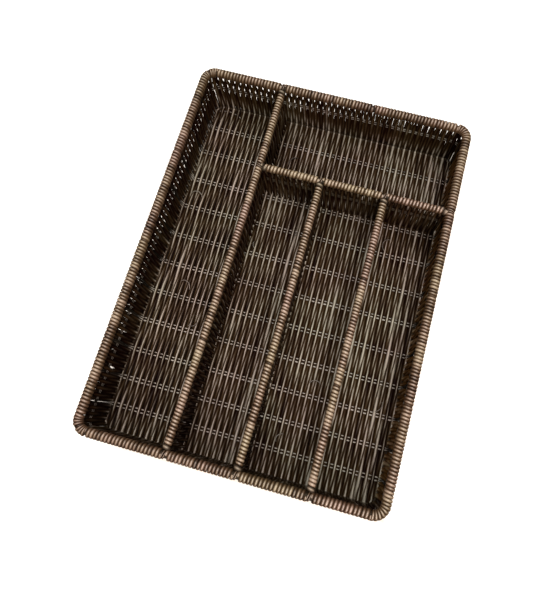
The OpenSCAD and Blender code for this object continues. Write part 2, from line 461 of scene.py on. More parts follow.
# Each material's light end shows where the wear attribute is high: the colour of crests' wear and painted
# highlight
WRAP = rattan(
    "wrap_rattan",
    dark=(0.013, 0.006, 0.0028),
    mid=(0.092, 0.053, 0.031),
    light=(0.345, 0.262, 0.213),
    gloss=(0.14, 0.55),
    specular=0.75,
)
LASHING = rattan(
    "lashing_rattan",
    dark=(0.010, 0.0065, 0.0045),
    mid=(0.052, 0.036, 0.026),
    light=(0.27, 0.215, 0.17),
)
STAKE = rattan(
    "stake_rattan",
    dark=(0.008, 0.0018, 0.0004),
    mid=(0.044, 0.025, 0.01),
    light=(0.40, 0.352, 0.318),
    specular=0.35,
    yellow=0.89,
)
# A paler, browner, less shiny copy of the stake rattan for the right wall, painted lit: its inner face is
# the one that the key light falls on
PAINTED_LIT_STAKE = rattan(
    "painted_lit_stake_rattan",
    dark=(0.018, 0.0065, 0.0015),
    mid=(0.105, 0.047, 0.014),
    light=(0.36, 0.28, 0.20),
    specular=0.15,
)
CROSS = rattan(
    "cross_rattan",
    dark=(0.008, 0.006, 0.004),
    mid=(0.06, 0.047, 0.037),
    light=(0.52, 0.465, 0.43),
    yellow=0.92,
)
ROD = rattan(
    "rod_rattan",
    dark=(0.008, 0.005, 0.003),
    mid=(0.03, 0.02, 0.012),
    light=(0.06, 0.042, 0.028),
    fibred=False,
)

# ---- Floor and end walls: strands that run from the front rim to the back rim ----

FLOOR_RINGS = 107
BEND_RINGS = 4
WALL_RINGS = 15
# A strand crosses the rim, the walls' pair and the base rod before the floor's first pair
OUTER_ROWS = 3
# How fast strands widen round a corner, where they fan out, and the most that they do
CORNER_SPREAD = 0.36
MOST_SPREAD = 0.17
# Painted light and shade: how much paler than usual the floor is at its left, middle and right
# and beyond the cross divider, and how much the front wall is
PAINTED_LIGHT_ACROSS = [-0.05, -0.01, 0.045]
PAINTED_LIGHT_AT_BACK = 0.03
PAINTED_LIGHT_UP_FRONT = 0.05
# Mean tone, its spread from strand to strand and along one, and the painted shade: how much darker
# a strand is under others and up a wall
STRAND_TONE = 0.19
TONE_SPREAD = 0.07
TONE_DRIFT = 0.05
UNDER_PAINTED_SHADE = 0.05
WALL_PAINTED_SHADE = 0.04


def wall_line(x):
    """The y of the end walls' middle at x, and the inward direction there, for the back wall."""
    turn = max(abs(x) - STRAIGHT_X, 0.0)
    reach = math.sqrt(CORNER_R**2 - turn**2)
    inward = np.array([-math.copysign(turn, x), -reach, 0.0]) / CORNER_R
    return STRAIGHT_Y + reach, inward


def lengthwise_frame(x, s):
    """Points and inner normals of the weave's middle, at distance s from the tray's middle."""
    wall_y, inward = wall_line(x)
    floor_half = wall_y - BEND_R
    side = np.sign(s)
    far = np.abs(s)
    turn = np.clip((far - floor_half) / BEND_R, 0, math.pi / 2)
    up = np.clip(far - floor_half - BEND_ARC, 0, None)
    y = np.minimum(far, floor_half) + BEND_R * np.sin(turn)
    z = MAT_Z + BEND_R * (1 - np.cos(turn)) + up
    points = np.stack([np.full_like(s, x), side * y, z], axis=1)
    level = np.stack([np.full_like(s, inward[0]), side * inward[1], np.zeros_like(s)], axis=1)
    normals = np.cos(turn)[:, None] * UP + np.sin(turn)[:, None] * level
    return points, normals


def lengthwise_rows(foot):
    """Where a strand crosses each row, front to back, when its walls start at distance foot."""
    outer = foot + np.array([-BEND_ARC / 2, BAND_Z - WALL_FOOT_Z, RIM_CROSS_Z - WALL_FOOT_Z])
    return np.concatenate([-outer[::-1], ROW_Y, outer])


def lengthwise_strand(number):
    """A strand's path, inner normals, overness and distance from the base rod."""
    x = (number - (FLOOR_STRANDS - 1) / 2) * FLOOR_PITCH
    wall_y, _ = wall_line(x)
    floor_half = wall_y - BEND_R
    foot = floor_half + BEND_ARC
    rows = lengthwise_rows(foot)
    up = np.concatenate([
        np.linspace(floor_half, foot, BEND_RINGS)[1:],
        np.linspace(foot, foot + STRAND_END_Z - WALL_FOOT_Z, WALL_RINGS)[1:],
    ])
    s = np.concatenate([-up[::-1], np.linspace(-floor_half, floor_half, FLOOR_RINGS), up])
    points, normals = lengthwise_frame(x, s)
    z = points[:, 2]
    phase = math.pi * (np.interp(s, rows, np.arange(len(rows))) + number)
    swing = np.where(z < MAT_Z + 0.01, FLOOR_SWING * np.cos(phase), wall_swing(z, phase))
    swing = swing * (1 + random.normal(0, 0.02))
    path = points + swing[:, None] * normals
    path[:, 0] += to_and_fro(z, phase) + smooth_noise(len(s), 9, 0.08) - slot_shift(z, phase)
    return path, normals, overness(phase), np.abs(np.abs(s) - rows[-OUTER_ROWS])


def corner_spread(x):
    """How much wider than elsewhere a wall strand is at a corner."""
    return min(CORNER_SPREAD * max(abs(x) - STRAIGHT_X, 0) / CORNER_R, MOST_SPREAD)


def fade(path):
    """How much paler than usual a lengthwise strand is, all along it: painted light and shade."""
    across = np.interp(path[:, 0], [-MID_X, 0, MID_X], PAINTED_LIGHT_ACROSS)
    at_back = PAINTED_LIGHT_AT_BACK * rise(path[:, 1], CROSS_Y, CROSS_Y + 10)
    up_front = PAINTED_LIGHT_UP_FRONT * rise(-path[:, 1], MID_Y - 11, MID_Y - 7)
    return (across + at_back) * (path[:, 2] < MAT_T) + up_front


def lengthwise_looks(path, over, from_base):
    """Width, thickness, tone with its painted light and shade, and inner and outer wear and painted light
    along a lengthwise strand.
    """
    z = path[:, 2]
    under = (1 - over) ** 2
    tone = random.normal(STRAND_TONE, TONE_SPREAD) + smooth_noise(len(path), 14, TONE_DRIFT) + fade(path)
    # Painted shade: darker where a strand dives under others, and up the walls
    tone = tone - UNDER_PAINTED_SHADE * under - WALL_PAINTED_SHADE * rise(z, MAT_T, MAT_T + 20)
    width, thick = strand_section(z, from_base)
    width = width * (1 + corner_spread(path[:, 0].mean()) * rise(z, MAT_T, MAT_T + 5))
    well_on_floor = rise(from_base, 8, 16) * (z < MAT_T + 1)
    width = width + (UNDER_STRAND_W - FLOOR_STRAND_W) * well_on_floor * under
    # Painted highlight on the back wall's inside low down, fading to painted shade higher up; the front
    # wall's inside turns to painted shade just above the floor
    wear_and_painted_light, outer_wear_and_painted_light = wall_wear_and_painted_light(z, over, BACK_WALL_PAINTED_SHADE_Z)
    front_wear_and_painted_light, _ = wall_wear_and_painted_light(z, over, FRONT_WALL_PAINTED_SHADE_Z)
    wear_and_painted_light = np.where(path[:, 1] < 0, front_wear_and_painted_light, wear_and_painted_light)
    return width, thick, tone, wear_and_painted_light, outer_wear_and_painted_light


def build_lengthwise():
    """Builds the floor and the end walls. Returns the pieces of the corners, which get stakes too."""
    floor = Piece("floor_strands")
    front = Piece("front_wall_strands")
    back = Piece("back_wall_strands")
    corners = {}
    for y_name in ("front", "back"):
        for x_name in ("left", "right"):
            corners[y_name, x_name] = Piece(f"corner_strands_{y_name}_{x_name}")
    for number in range(FLOOR_STRANDS):
        path, normals, over, from_base = lengthwise_strand(number)
        looks = lengthwise_looks(path, over, from_base)
        x = path[:, 0].mean()
        x_name = "left" if x < 0 else "right"
        at_corner = abs(x) > STRAIGHT_X
        front_piece = corners["front", x_name] if at_corner else front
        back_piece = corners["back", x_name] if at_corner else back
        # The floor's part shares its end rings with the walls' parts
        for piece, part in (
            (front_piece, slice(0, WALL_RINGS)),
            (floor, slice(WALL_RINGS - 1, 1 - WALL_RINGS)),
            (back_piece, slice(-WALL_RINGS, None)),
        ):
            piece.sweep(path[part], normals[part], *(values[part] for values in looks))
    floor.build(STAKE, "stake_strand", "floor_weave")
    front.build(STAKE, "stake_strand", "wall_weave_front")
    back.build(STAKE, "stake_strand", "wall_weave_back")
    return corners


# ---- Side walls ----

STAKE_RINGS = 22
STAKE_BEND_RINGS = 6
# How far an even and an odd stake turn round the wall's foot, in degrees
STAKE_TURNS = (34, 68)
# The side walls' stakes are a little stouter, and most of all the one in the middle of a corner
SIDE_FILL = 1.07
CORNER_FILL = 1.1
STAKE_TONE = 0.05
# Where that one is, in degrees from the side wall
CORNER_STAKE_ANGLE = 17.3
# The side walls: side, material, how much paler than a stake's usual tone it is painted, as painted light,
# and how much wear and painted highlight it has
SIDE_WALLS = {
    "left": (-1, STAKE, 0.0, 1.0),
    "right": (1, PAINTED_LIT_STAKE, 0.22, 0.626),
}
# Two stakes of the left wall are pushed apart here, by this much
HOLE_Y = ROW_Y[1] + 1.5 * STAKE_PITCH
HOLE_Z = BAND_Z - 6
HOLE_REACH = 5
HOLE_PUSH = 1.3


def stake_phase(z, parity):
    """Where a stake is between its crossings: parity 0 is inside at the rim and the foot."""
    return math.pi * (np.interp(z, [BASE_Z, BAND_Z, RIM_CROSS_Z], [2, 1, 0]) + parity)


def side_stake(place, inward, parity):
    """A stake down a wall at place and round its foot: its path, inner normals and overness."""
    straight = np.linspace(STRAND_END_Z, WALL_FOOT_Z, STAKE_RINGS)
    bend = np.linspace(0, math.radians(STAKE_TURNS[parity]), STAKE_BEND_RINGS)[1:]
    turn = np.concatenate([np.zeros(STAKE_RINGS), bend])
    z = np.concatenate([straight, MAT_Z + BEND_R * (1 - np.sin(bend))])
    push = BEND_R * (1 - np.cos(turn))
    points = place + push[:, None] * inward + z[:, None] * UP
    normals = np.cos(turn)[:, None] * inward + np.sin(turn)[:, None] * UP
    phase = stake_phase(z, parity)
    aside = slot_shift(z, phase) + to_and_fro(z, phase) + smooth_noise(len(z), 4, 0.06)
    path = points + wall_swing(z, phase)[:, None] * normals + aside[:, None] * np.cross(UP, inward)
    return path, normals, overness(phase)


def stake_tone(mean):
    """A tone for one stake: each differs a little."""
    return np.clip(random.normal(mean, 0.06), -0.05, 0.3)


def side_places():
    """The stakes' places along a side wall as (y, parity, None), or with a row's number for its pair's."""
    edges = [-STRAIGHT_Y, *ROW_Y, STRAIGHT_Y]
    places = []
    for gap, (start, stop) in enumerate(zip(edges[:-1], edges[1:])):
        count = round((stop - start) / STAKE_PITCH)
        for step in range(count):
            row = gap - 1 if step == 0 and gap > 0 else None
            places.append((start + (stop - start) * step / count, len(places) % 2, row))
    places.append((STRAIGHT_Y, len(places) % 2, None))
    return places


def pushed_aside(y, z):
    """How far a stake of the left wall is pushed along the wall, away from the hole."""
    away = y - HOLE_Y
    near = math.exp(-((away / STAKE_PITCH) ** 2))
    return HOLE_PUSH * near * math.copysign(1, away) * np.exp(-(((z - HOLE_Z) / HOLE_REACH) ** 2))


def sweep_stake(piece, path, normals, over, fill, paler=0.0, wear_and_painted_light_scale=1.0):
    """Adds a stake, with wear and painted light on the face of the wall that it is on."""
    width, thick = strand_section(path[:, 2], np.abs(path[:, 2] - BASE_Z))
    wear_and_painted_light, outer_wear_and_painted_light = wall_wear_and_painted_light(path[:, 2], over, SIDE_WALL_PAINTED_SHADE_Z)
    piece.sweep(path, normals, fill * width, thick, stake_tone(STAKE_TONE) + paler, wear_and_painted_light_scale * wear_and_painted_light, outer_wear_and_painted_light)


def build_side_wall(x_name, corners):
    """Builds a side wall, and adds a stake to each of its two corners."""
    wall = Piece(f"{x_name}_wall_stakes")
    side, material, paler, wear_and_painted_light_scale = SIDE_WALLS[x_name]
    inward = np.array([-side, 0.0, 0.0])
    places = side_places()
    for y, parity, row in places:
        if row is not None:
            continue
        place = np.array([side * MID_X, y + random.normal(0, 0.06), 0.0])
        path, normals, over = side_stake(place, inward, parity)
        if x_name == "left":
            path[:, 1] += pushed_aside(y, path[:, 2])
        sweep_stake(wall, path, normals, over, SIDE_FILL, paler, wear_and_painted_light_scale)
    angle = math.radians(CORNER_STAKE_ANGLE)
    for end, y_name, neighbour in ((-1, "front", places[0][1]), (1, "back", places[-1][1])):
        inward = np.array([-side * math.cos(angle), -end * math.sin(angle), 0.0])
        place = np.array([side * STRAIGHT_X, end * STRAIGHT_Y, 0.0]) - CORNER_R * inward
        path, normals, over = side_stake(place, inward, 1 - neighbour)
        sweep_stake(corners[y_name, x_name], path, normals, over, CORNER_FILL * SIDE_FILL)
    wall.build(material, "stake_strand", f"wall_weave_{x_name}")


def build_walls_and_floor():
    corners = build_lengthwise()
    for x_name in SIDE_WALLS:
        build_side_wall(x_name, corners)
    for (y_name, x_name), piece in corners.items():
        piece.build(STAKE, "stake_strand", f"corner_stakes_{y_name}_{x_name}")


# ---- Pairs that cross the strands ----

# How far a floor pair reaches to each side, and the radius it turns up the wall round
PAIR_REACH = MID_X - 2.3
PAIR_BEND_R = 2.2
PAIR_RISE_Z = MAT_Z + PAIR_BEND_R
# Its two strands stand closer together in the wall by this share
PAIR_CLOSER = 0.42
PAIR_RINGS = 120
# How far a floor pair rises where it shows, how much paler it is than in the wall and towards
# the front, which is painted light, and its wear and painted highlight in the wall, low as painted shade
PAIR_WAVE = 0.1
PAIR_PAINTED_LIGHT = 0.25
PAIR_FRONT_PAINTED_LIGHT = 0.11
PAIR_WALL_WEAR_AND_PAINTED_LIGHT = 0.15
# The walls' pair is a little flattened
WALL_PAIR_T = 1.4
WALL_PAIR_W = 2.2

# Loose ends that curl up from the floor: the row each lies behind, its place across the
# tray from -1 to 1, the way it heads in degrees, and how far it curls
LOOSE_ENDS = [
    (9, -0.21, 150, 110),
    (7, -0.91, 80, 120),
    (6, -0.31, 200, 90),
    (4, -0.77, 60, 130),
    (3, -0.62, 300, 120),
    (7, 0.67, 170, 140),
    (2, 0.39, 100, 120),
    (2, 0.83, 330, 100),
    (0, 0.26, 150, 120),
]
LOOSE_END_W = 0.95
LOOSE_END_SECTION = {"sides": 6, "crest": 2}


def half_pair(parity):
    """Distances from the tray's middle and heights along half a pair, up into a side wall."""
    flat = np.linspace(0, PAIR_REACH - PAIR_BEND_R, PAIR_RINGS)
    turn = np.linspace(0, math.pi / 2, STAKE_BEND_RINGS)[1:]
    z = np.linspace(PAIR_RISE_Z, STRAND_END_Z, STAKE_RINGS)[1:]
    # Within 8 mm it moves from its own bend to its place in the wall's weave
    share = rise(z, PAIR_RISE_Z, PAIR_RISE_Z + 8)
    up_wall = MID_X - (1 - share) * (MID_X - PAIR_REACH) - share * wall_swing(z, stake_phase(z, parity))
    out = np.concatenate([flat, flat[-1] + PAIR_BEND_R * np.sin(turn), up_wall])
    z = np.concatenate([np.full_like(flat, MAT_Z), MAT_Z + PAIR_BEND_R * (1 - np.cos(turn)), z])
    return out, z


def add_pair_strand(piece, row, side, parity, skew):
    """Adds one of a row's two strands, whose ends turn up the inside of the side walls."""
    out, z = half_pair(parity)
    x = np.concatenate([-out[::-1], out[1:]])
    z = np.concatenate([z[::-1], z[1:]])
    upright = rise(z, MAT_Z, PAIR_RISE_Z)
    # It shows between the strands that it goes over
    strand = x / FLOOR_PITCH + (FLOOR_STRANDS - 1) / 2
    shown = 0.5 - 0.5 * np.cos(math.pi * (OUTER_ROWS + row + strand))
    wave = PAIR_WAVE * (2 * shown - 1) * (1 - upright)
    y = ROW_Y[row] + side * PAIR_GAP / 2 * (1 - PAIR_CLOSER * upright) + skew * x / MID_X
    y = y + smooth_noise(len(x), 24, 0.1)
    y = y + random.normal(0, 0.2) * rise(z, PAIR_RISE_Z, STRAND_END_Z)
    path = np.stack([x, y, z + wave], axis=1)
    inner = np.stack([-np.sign(x) * upright, np.zeros_like(x), 1 - upright], axis=1)
    in_wall = rise(z, MAT_T, MAT_T + 8)
    # Painted light: paler on the floor than in the wall, and paler towards the front
    tone = random.normal(0, 0.05) + PAIR_PAINTED_LIGHT * (1 - in_wall) - PAIR_FRONT_PAINTED_LIGHT * ROW_Y[row] / MID_Y
    thick = FLOOR_PAIR_T + (0.92 * CROSS_D - FLOOR_PAIR_T) * upright
    # Painted highlight where it shows between the strands on the floor, and painted shade in the wall
    wear_and_painted_light = (1 - (1 - PAIR_WALL_WEAR_AND_PAINTED_LIGHT) * in_wall) * (1 - (1 - upright) * (1 - shown**2))
    piece.sweep(path, inner, CROSS_D, thick, tone, wear_and_painted_light)


def add_loose_ends(piece):
    """Thin split ends that lie in an arc on the floor's strands."""
    top = MAT_Z + FLOOR_SWING + FLOOR_STRAND_T / 2
    share = np.linspace(0, 1, 18)
    for row, across, heading, curl in LOOSE_ENDS:
        angle = np.radians(heading + curl * (share - 0.5))
        arc_r = random.uniform(5.0, 8.0)
        x = across * MID_X + arc_r * np.cos(angle)
        y = ROW_Y[row] + 0.33 * FLOOR_ROW_GAP + arc_r * np.sin(angle)
        z = top + 0.3 - 2.0 * (2 * share - 1) ** 6
        path = np.stack([x, y, z], axis=1)
        piece.sweep(path, UP, LOOSE_END_W, 0.8 * LOOSE_END_W, 0.15, 0.6, **LOOSE_END_SECTION)


def add_loose_runner(piece):
    """A short bowed strand woven through the floor's back left corner."""
    share = np.linspace(0, 1, 40)
    x = 24 * share - STRAIGHT_X - 5
    y = MID_Y - 7 - 2.5 * share + 3.0 * np.sin(math.pi * share)
    path = np.stack([x, y, np.full_like(x, MAT_Z + 0.6)], axis=1)
    piece.sweep(path, UP, 1.5, 1.1, 0.15, 0.9)


def build_cross_pairs():
    piece = Piece("floor_cross_pairs")
    parities = {row: parity for _, parity, row in side_places() if row is not None}
    for row in range(len(ROW_Y)):
        skew = random.normal(0, 0.35)
        for side in (-1, 1):
            add_pair_strand(piece, row, side, parities[row], skew)
    add_loose_ends(piece)
    add_loose_runner(piece)
    piece.build(CROSS, "cross_strand", "floor_cross_strands")


def corner_centre(quarter, z):
    """The middle of the arc of a corner, counted anticlockwise from the back right."""
    x = STRAIGHT_X if quarter in (0, 3) else -STRAIGHT_X
    y = STRAIGHT_Y if quarter in (0, 1) else -STRAIGHT_Y
    return np.array([x, y, z])


def hoop_path(z):
    """A closed run round the walls, as points and outward normals."""
    points = []
    normals = []
    for quarter in range(4):
        for angle in np.radians(np.linspace(0, 90, 9) + 90 * quarter):
            out = np.array([math.cos(angle), math.sin(angle), 0.0])
            points.append(corner_centre(quarter, z) + CORNER_R * out)
            normals.append(out)
        run = 2 * (STRAIGHT_X if quarter in (0, 2) else STRAIGHT_Y)
        steps = int(run / 6)
        for _ in range(1, steps):
            points.append(points[-1] + np.cross(UP, out) * run / steps)
            normals.append(out)
    points = np.array(points)
    normals = np.array(normals)
    points[:, 2] += smooth_noise(len(points), 60, 0.12)
    return np.concatenate([points, points[:1]]), np.concatenate([normals, normals[:1]])


def build_bands():
    for level in ("upper", "lower"):
        node = f"wall_band_{level}"
        piece = Piece(f"wall_pair_{level}")
        path, normals = hoop_path(middle_mm(node)[2])
        # Wear and a painted highlight on its crests, much more on its outer face than on its inner one
        piece.sweep(path, normals, WALL_PAIR_W, WALL_PAIR_T, 0.15, wear_and_painted_light=0.25, back_wear_and_painted_light=0.8)
        piece.build(CROSS, "cross_strand", node)


# ---- Bars: the rim's sides and the dividers ----

# The winding's pitch, along the tray's length and across it
LONG_PITCH = 2.94
SHORT_PITCH = 3.12
WRAP_T = 1.5
# A turn's width, as a share of the pitch
WRAP_FILL = 0.95
TURN_RINGS = 22
# The winding's ends dip by this much, within this share of a turn
TUCK_DEPTH = 0.9
TUCK_TURN = 0.22
RIM_TONE = 0.18
# How much of the windings' wear and painted highlight the rim keeps
RIM_WEAR_AND_PAINTED_LIGHT_SCALE = 0.82
DIVIDER_TONE = 0.27

# A gap in a winding: its length, and how far the strands in it slant, where they are in it, and
# their width and their wear and painted highlight
JUNCTION = {"gap": 4.2, "slant": 4.0, "places": (-0.95, 0.95), "width": 1.6, "wear_and_painted_light": 0.8}
SPLICE = {"gap": 1.5, "slant": 2.2, "places": (0.0,), "width": 2.4, "wear_and_painted_light": 0.3}
# A slanting strand: its thickness, as a share of the winding's, its tone and how deep it lies
SLANT_THICK = 0.9
SLANT_TONE = 0.05
SLANT_DEPTH = 0.35


class Bar:
    """A bar with a winding, as high as the rim; bow is how far its middle has bowed sideways."""

    def __init__(self, start, end, bow=0.0):
        self.start = np.array([*start, RIM_Z])
        end = np.array([*end, RIM_Z])
        self.length = np.linalg.norm(end - self.start)
        self.along = (end - self.start) / self.length
        self.lengthwise = self.along[1] > 0.5
        self.across = np.array([1.0, 0.0, 0.0]) if self.lengthwise else np.array([0.0, 1.0, 0.0])
        self.pitch = LONG_PITCH if self.lengthwise else SHORT_PITCH
        # This keeps the winding's hand the same on both kinds of bar
        self.lean = 1 if self.lengthwise else -1
        self.bow = bow

    def distance(self, place):
        """How far along the bar a place is, given as its y on a lengthwise bar or else as its x."""
        return place - self.start[1 if self.lengthwise else 0]

    def bent(self, u):
        """How far the bar has bowed sideways at distance u."""
        return self.bow * np.sin(math.pi * u / self.length)

    def place(self, u, theta, radius):
        """Points at distance u along the bar, turned theta from sideways towards up, and outward normals."""
        out = np.cos(theta)[:, None] * self.across + np.sin(theta)[:, None] * UP
        centre = self.start + u[:, None] * self.along + self.bent(u)[:, None] * self.across
        return centre + radius[:, None] * out, out


def tucked(turn, turns):
    """How deep a winding has dipped after turn of its turns, as it does at both ends."""
    inside = np.clip(np.minimum(turn, turns - turn) / TUCK_TURN, 0, 1)
    return TUCK_DEPTH * (1 - inside) ** 2


def top_wear_and_painted_highlight(out):
    """Wear and a painted highlight on a winding, most where it faces up to the light from above."""
    return 0.15 + 0.85 * np.clip(out[:, 2], 0, 1) ** 2


def bind(piece, bar, start, stop, outer_r, tone, pitch=None, wear_and_painted_light_scale=1.0):
    """Winds a strand round a bar from start to stop, its ends tucked in."""
    run = stop - start
    turns = max(1, round(run / (pitch or bar.pitch)))
    count = turns * TURN_RINGS + 1
    turn = np.linspace(0, turns, count)
    half_turn = 2 * turn
    ease = 0.5 - 0.5 * np.cos(math.pi * (half_turn % 1.0))
    low = np.floor(half_turn).astype(int)

    def wander(size):
        """Random values of about the given size, one for each half turn, and smooth between them."""
        values = random.normal(0, size, 2 * turns + 3)
        return values[low] * (1 - ease) + values[low + 1] * ease

    u = start + run * turn / turns + wander(0.1)
    theta = bar.lean * (2 * math.pi * turn - math.pi / 2)
    width = WRAP_FILL * run / turns * (1 + wander(0.02))
    thick = WRAP_T * (1 + wander(0.03))
    radius = outer_r - thick / 2 + wander(0.05) - tucked(turn, turns)
    path, out = bar.place(u, theta, radius)
    shade = np.clip(tone + wander(0.08) + smooth_noise(count, max(2, turns // 5), 0.05), 0, 0.8)
    piece.sweep(path, out, width, thick, shade, wear_and_painted_light_scale * top_wear_and_painted_highlight(out), **WRAP_SECTION)


def add_slanting_strand(piece, bar, at, outer_r, kind):
    """Lays a single strand slantwise over a bar, from one side of it to the other."""
    share = np.linspace(0, 1, 19)
    theta = np.radians(260 * share - 40)
    u = at + bar.lean * kind["slant"] * (share - 0.5)
    radius = outer_r - WRAP_T / 2 - SLANT_DEPTH - 0.8 * (2 * share - 1) ** 8
    path, out = bar.place(u, theta, radius)
    piece.sweep(path, out, kind["width"], SLANT_THICK * WRAP_T, SLANT_TONE, kind["wear_and_painted_light"], **WRAP_SECTION)


def bind_with_gaps(piece, bar, start, stop, outer_r, gaps, tone, wear_and_painted_light_scale=1.0):
    """Winds a bar, but for its gaps: a list of (place, JUNCTION or SPLICE) in order along the bar."""
    edge = start
    for place, kind in gaps:
        at = bar.distance(place)
        bind(piece, bar, edge, at - kind["gap"] / 2, outer_r, tone, wear_and_painted_light_scale=wear_and_painted_light_scale)
        for offset in kind["places"]:
            add_slanting_strand(piece, bar, at + offset, outer_r, kind)
        edge = at + kind["gap"] / 2
    bind(piece, bar, edge, stop, outer_r, tone, wear_and_painted_light_scale=wear_and_painted_light_scale)


# ---- Rim ----

# The rim's sides, and the gaps in their windings, as the photo shows them
RIM_SIDES = {
    "left": (
        Bar((-MID_X, -STRAIGHT_Y), (-MID_X, STRAIGHT_Y)),
        [(MID_Y - 183, SPLICE), (MID_Y - 91, SPLICE)],
    ),
    "right": (
        Bar((MID_X, -STRAIGHT_Y), (MID_X, STRAIGHT_Y)),
        [(MID_Y - 262, SPLICE), (MID_Y - 167, SPLICE), (CROSS_Y, JUNCTION)],
    ),
    "front": (
        Bar((-STRAIGHT_X, -MID_Y), (STRAIGHT_X, -MID_Y)),
        [(MAIN_X, JUNCTION), (LEFT_SHORT_X, JUNCTION), (RIGHT_SHORT_X, JUNCTION)],
    ),
    "back": (
        Bar((-STRAIGHT_X, MID_Y), (STRAIGHT_X, MID_Y)),
        [(MAIN_X, JUNCTION), (167 - MID_X, SPLICE)],
    ),
}

# How a corner is wound: first and last angle, and the turns between them. At two of them the
# winding starts anew and leaves a gap at the tip. CORNERS goes round anticlockwise.
WHOLE_CORNER = [(0, 90, 6)]
OPEN_CORNER = [(0, 40, 3), (50, 90, 3)]
CORNERS = {
    "back_right": WHOLE_CORNER,
    "back_left": OPEN_CORNER,
    "front_left": OPEN_CORNER,
    "front_right": WHOLE_CORNER,
}


def build_rim():
    for name, (bar, gaps) in RIM_SIDES.items():
        piece = Piece(f"rim_binding_{name}")
        bind_with_gaps(piece, bar, 0, bar.length, RIM_R, gaps, RIM_TONE, RIM_WEAR_AND_PAINTED_LIGHT_SCALE)
        piece.build(WRAP, "wrap_strand", f"rim_wrap_{name}")


def corner_place(quarter, degrees, theta, radius):
    """Points on a corner of the rim, degrees round the corner and theta round the rod, and normals."""
    swept = np.radians(degrees + 90 * quarter)
    out = np.stack([np.cos(swept), np.sin(swept), np.zeros_like(swept)], axis=1)
    radial = np.cos(theta)[:, None] * out + np.sin(theta)[:, None] * UP
    return corner_centre(quarter, RIM_Z) + CORNER_R * out + radius[:, None] * radial, radial


def bind_corner(piece, quarter, first, last, turns):
    """Winds turns of strand round a corner from the angle first to last."""
    turn = np.linspace(0, turns, turns * TURN_RINGS + 1)
    theta = 2 * math.pi * turn - math.pi / 2
    radius = RIM_R - WRAP_T / 2 - tucked(turn, turns)
    path, radial = corner_place(quarter, first + (last - first) * turn / turns, theta, radius)
    step = math.radians((last - first) / turns)
    # A turn widens at the corner's outer side, and narrows only so far at its inner side
    width = WRAP_FILL * step * (CORNER_R + RIM_R * np.maximum(np.cos(theta), -0.35))
    piece.sweep(path, radial, width, WRAP_T, RIM_TONE, RIM_WEAR_AND_PAINTED_LIGHT_SCALE * top_wear_and_painted_highlight(radial), **WRAP_SECTION)


def add_tip_strand(piece, quarter):
    """The strand that slants over the gap at an open corner's tip."""
    share = np.linspace(0, 1, 19)
    radius = np.full_like(share, RIM_R - WRAP_T / 2 - 0.4)
    path, radial = corner_place(quarter, 38 + 16 * share, np.radians(240 * share - 30), radius)
    piece.sweep(path, radial, SPLICE["width"], SLANT_THICK * WRAP_T, 0.0, SPLICE["wear_and_painted_light"], **WRAP_SECTION)


def build_corners():
    for quarter, (name, windings) in enumerate(CORNERS.items()):
        piece = Piece(f"rim_corner_binding_{name}")
        for first, last, turns in windings:
            bind_corner(piece, quarter, first, last, turns)
        if windings is OPEN_CORNER:
            add_tip_strand(piece, quarter)
        piece.build(WRAP, "wrap_strand", f"rim_corner_wrap_{name}")


# ---- Dividers ----

DIVIDER_PITCH = 2.95
DIVIDER_STAKE_W = 0.98 * WALL_STRAND_W
DIVIDER_STAKE_TONE = 0.045
# How far a lashing reaches out of the bar that a divider's end meets, and how far into it
LASHING_REACH = 4.0
LASHING_OVERLAP = 0.5
LASHING_PITCH = 4.2
# Each divider's bar, its gaps, and its two ends: a name, and the radius of the bar it meets
DIVIDERS = {
    "main": (
        Bar((MAIN_X, -MID_Y), (MAIN_X, MID_Y), bow=1.4),
        [(MID_Y - 254, SPLICE), (MID_Y - 168, SPLICE), (CROSS_Y, JUNCTION)],
        [("front", RIM_R), ("back", RIM_R)],
    ),
    "cross": (
        Bar((MAIN_X, CROSS_Y), (MID_X, CROSS_Y)),
        [(LEFT_SHORT_X, JUNCTION), (RIGHT_SHORT_X, JUNCTION)],
        [("left", DIVIDER_R), ("right", RIM_R)],
    ),
    "left_short": (
        Bar((LEFT_SHORT_X, -MID_Y), (LEFT_SHORT_X, CROSS_Y), bow=1.0),
        [(MID_Y - 259, SPLICE), (MID_Y - 173, SPLICE)],
        [("front", RIM_R), ("back", DIVIDER_R)],
    ),
    "right_short": (
        Bar((RIGHT_SHORT_X, -MID_Y), (RIGHT_SHORT_X, CROSS_Y)),
        [(MID_Y - 262, SPLICE), (MID_Y - 167, SPLICE)],
        [("front", RIM_R), ("back", DIVIDER_R)],
    ),
}


def build_divider_binding(name, bar, gaps, start, stop):
    piece = Piece(f"{name}_divider_binding")
    bind_with_gaps(piece, bar, start, stop, DIVIDER_R, gaps, DIVIDER_TONE)
    piece.build(WRAP, "wrap_strand", f"{name}_divider_wrap")


def build_lashing(name, bar, end_name, start, stop):
    piece = Piece(f"{name}_lashing_{end_name}_strands")
    bind(piece, bar, start, stop, DIVIDER_R + 0.1, tone=0.2, pitch=LASHING_PITCH)
    piece.build(LASHING, "lashing_strand", f"{name}_lashing_{end_name}")


